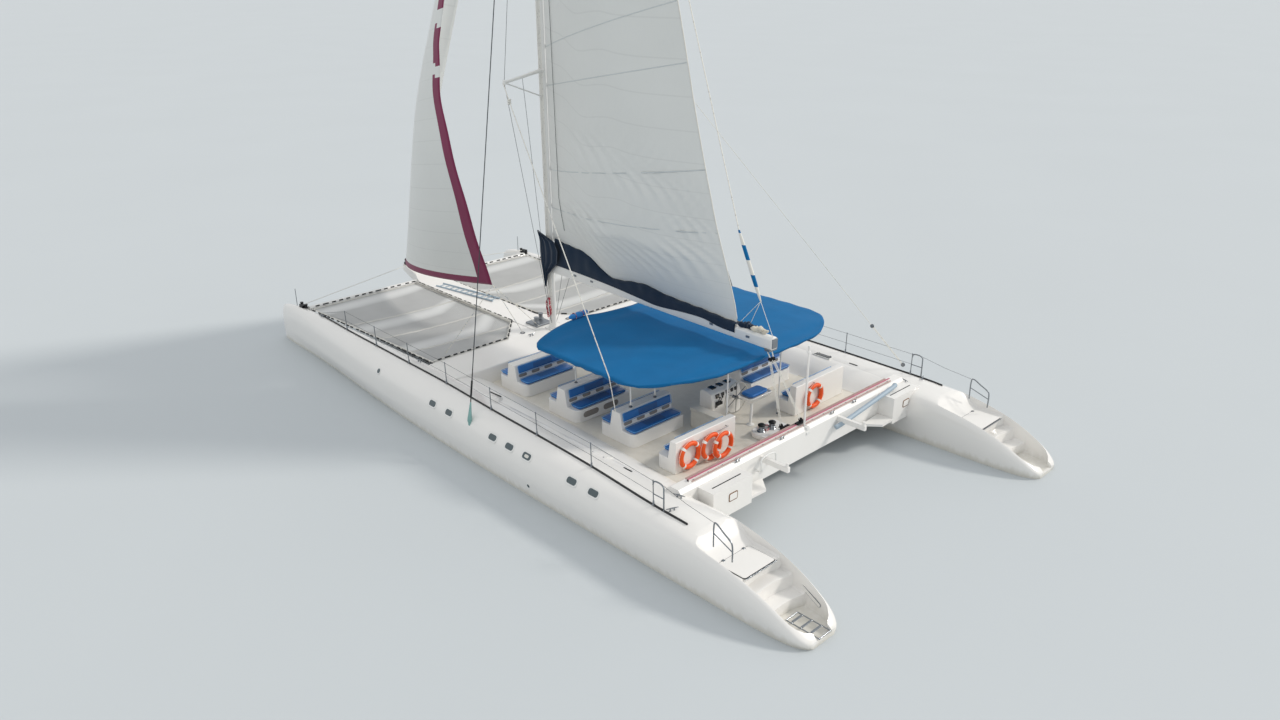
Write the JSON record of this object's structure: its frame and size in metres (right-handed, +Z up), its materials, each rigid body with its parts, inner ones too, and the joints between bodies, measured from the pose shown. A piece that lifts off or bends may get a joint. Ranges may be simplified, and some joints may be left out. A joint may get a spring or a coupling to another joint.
{
  "type": "sailing catamaran",
  "caption": "Large open day-charter catamaran under mainsail and jib, with slender hulls, net foredeck, bench cockpit under a canopy and stern steps.",
  "frame": {"origin": "centreline amidships at the waterline", "axes": "+X towards the bow, +Y to port, +Z up along the mast"},
  "size_m": [23.994, 11.46, 29.75],
  "materials": {
    "hull_gelcoat": "gloss white gelcoat on glass-fibre laminate",
    "deck_gelcoat": "moulded white gelcoat",
    "sole_nonslip": "fine non-slip gelcoat",
    "net": "woven polyester trampoline mesh with white webbing edges",
    "vinyl_blue": "coated marine vinyl, blue",
    "canopy_cloth": "woven acrylic canopy cloth, blue",
    "painted_alloy": "white painted aluminium",
    "stainless": "polished stainless tube",
    "wire": "stranded stainless wire",
    "sailcloth": "woven polyester sailcloth",
    "bag_cloth": "navy acrylic sail bag cloth",
    "ring_shell": "orange lifebuoy shell with white bands",
    "bronze": "cast bronze",
    "antifouling": "antifouling paint over laminate",
    "smoked_acrylic": "smoked acrylic hatch pane in an alloy rim"
  },
  "bodies": {
    "platform": {"hull_port": "hull_gelcoat", "trampoline_port": "net", "aft_locker_port": "deck_gelcoat", "shroud_port": "wire", "guard_rail_port": "stainless", "canopy_frame_port": "painted_alloy", "bench_port_1": "deck_gelcoat", "cushion_port_1_fwd": "vinyl_blue", "cushion_port_1_aft": "vinyl_blue", "bench_port_2": "deck_gelcoat", "cushion_port_2_fwd": "vinyl_blue", "cushion_port_2_aft": "vinyl_blue", "bench_port_3": "deck_gelcoat", "cushion_port_3_fwd": "vinyl_blue", "cushion_port_3_aft": "vinyl_blue", "bench_port_4": "deck_gelcoat", "cushion_port_4_fwd": "vinyl_blue", "hull_starboard": "hull_gelcoat", "trampoline_starboard": "net", "aft_locker_starboard": "deck_gelcoat", "shroud_starboard": "wire", "guard_rail_starboard": "stainless", "canopy_frame_starboard": "painted_alloy", "bench_starboard_1": "deck_gelcoat", "cushion_starboard_1_fwd": "vinyl_blue", "cushion_starboard_1_aft": "vinyl_blue", "bench_starboard_2": "deck_gelcoat", "cushion_starboard_2_fwd": "vinyl_blue", "cushion_starboard_2_aft": "vinyl_blue", "bench_starboard_3": "deck_gelcoat", "cushion_starboard_3_fwd": "vinyl_blue", "cushion_starboard_3_aft": "vinyl_blue", "bench_starboard_4": "deck_gelcoat", "cushion_starboard_4_fwd": "vinyl_blue", "bridge_deck": "sole_nonslip", "spine": "deck_gelcoat", "bow_beam": "painted_alloy", "aft_beam": "deck_gelcoat", "canopy": "canopy_cloth", "helm_console": "deck_gelcoat", "helm_seat": "deck_gelcoat", "locker_box": "sole_nonslip", "winch_plinth": "deck_gelcoat", "windlass": "stainless", "mast": "painted_alloy", "forestay": "wire", "jib": "sailcloth", "life_rings_port": "ring_shell", "life_ring_starboard": "ring_shell"},
    "boom": {"boom": "painted_alloy", "sail_bag": "bag_cloth", "mainsail": "sailcloth"},
    "rudder_port": {"rudder_port": "antifouling"},
    "rudder_starboard": {"rudder_starboard": "antifouling"},
    "steering_wheel": {"steering_wheel": "stainless"},
    "propeller_port": {"propeller_port": "bronze"},
    "propeller_starboard": {"propeller_starboard": "bronze"},
    "hatch_port": {"hatch_lid_port": "smoked_acrylic"},
    "hatch_starboard": {"hatch_lid_starboard": "smoked_acrylic"},
    "boarding_ladder": {"boarding_ladder": "stainless"}
  },
  "joints": [
    {"name": "boom_swing", "type": "hinge", "parent": "platform", "child": "boom", "pos_m": [2.6, 0, 3.66], "axis": [0, 0, 1], "range_deg": [-24.5, 27.5]},
    {"name": "rudder_port_turn", "type": "hinge", "parent": "platform", "child": "rudder_port", "pos_m": [-10.45, 4.9, -0.8], "axis": [0, 0, 1], "range_deg": [-35, 35]},
    {"name": "rudder_starboard_turn", "type": "hinge", "parent": "platform", "child": "rudder_starboard", "pos_m": [-10.45, -4.9, -0.8], "axis": [0, 0, 1], "range_deg": [-35, 35]},
    {"name": "wheel_turn", "type": "hinge", "parent": "platform", "child": "steering_wheel", "pos_m": [-5.2, -0.1, 1.57], "axis": [1, 0, 0], "range_deg": [-420, 420]},
    {"name": "propeller_port_spin", "type": "hinge", "parent": "platform", "child": "propeller_port", "pos_m": [-7.75, 4.9, -1.08], "axis": [1, 0, 0], "continuous": true},
    {"name": "propeller_starboard_spin", "type": "hinge", "parent": "platform", "child": "propeller_starboard", "pos_m": [-7.75, -4.9, -1.08], "axis": [1, 0, 0], "continuous": true},
    {"name": "hatch_port_lift", "type": "hinge", "parent": "platform", "child": "hatch_port", "pos_m": [-4.53, 4.64, 1.445], "axis": [0, 1, 0], "range_deg": [0, 95]},
    {"name": "hatch_starboard_lift", "type": "hinge", "parent": "platform", "child": "hatch_starboard", "pos_m": [-4.53, -4.64, 1.445], "axis": [0, 1, 0], "range_deg": [0, 95]},
    {"name": "ladder_swing", "type": "hinge", "parent": "platform", "child": "boarding_ladder", "pos_m": [-11.98, 4.9, 0.18], "axis": [0, -1, 0], "range_deg": [0, 240]}
  ],
  "couplings": [
    {"joint": "rudder_starboard_turn", "follows": "rudder_port_turn", "ratio": 1},
    {"joint": "wheel_turn", "follows": "rudder_port_turn", "ratio": 12}
  ]
}
